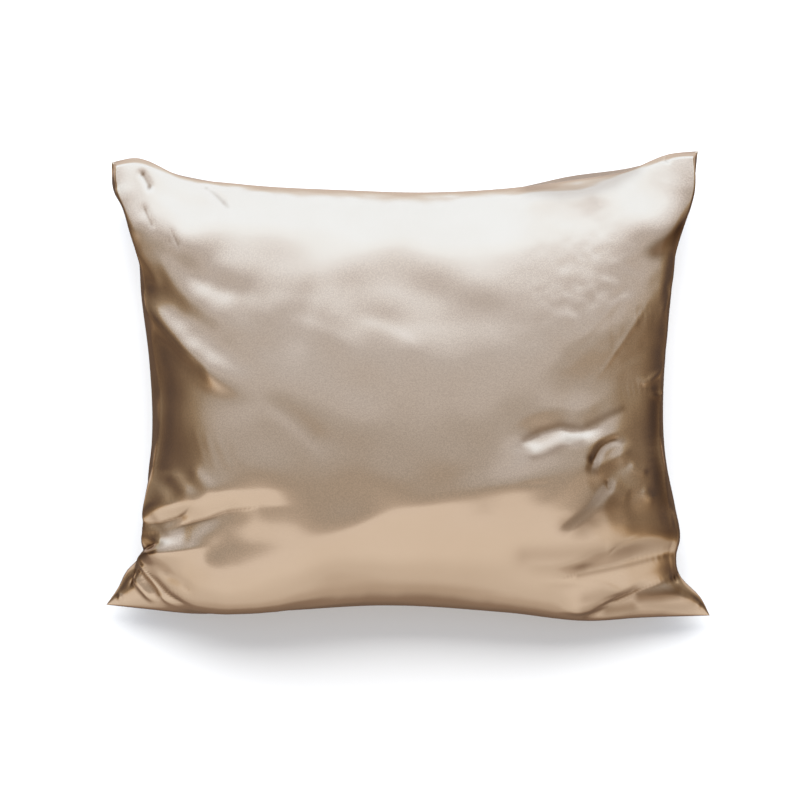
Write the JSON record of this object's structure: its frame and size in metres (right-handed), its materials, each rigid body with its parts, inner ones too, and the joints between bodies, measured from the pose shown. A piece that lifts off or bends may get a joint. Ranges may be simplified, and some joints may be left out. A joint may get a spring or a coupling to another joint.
{
  "type": "filled satin pillowcase",
  "caption": "Filled pillowcase in champagne satin, lying on its back: high crown, drawn-in sides and pointed corner ears.",
  "frame": {"origin": "middle of the box's base, on the surface that the case lies on", "axes": "+X across the face to its right end, +Y up the face to its top edge, +Z out of the face"},
  "size_m": [0.66, 0.5054, 0.168],
  "materials": {
    "satin": "champagne satin weave with a soft metallic sheen"
  },
  "bodies": {
    "root": {"pillowcase": "satin"}
  },
  "joints": []
}
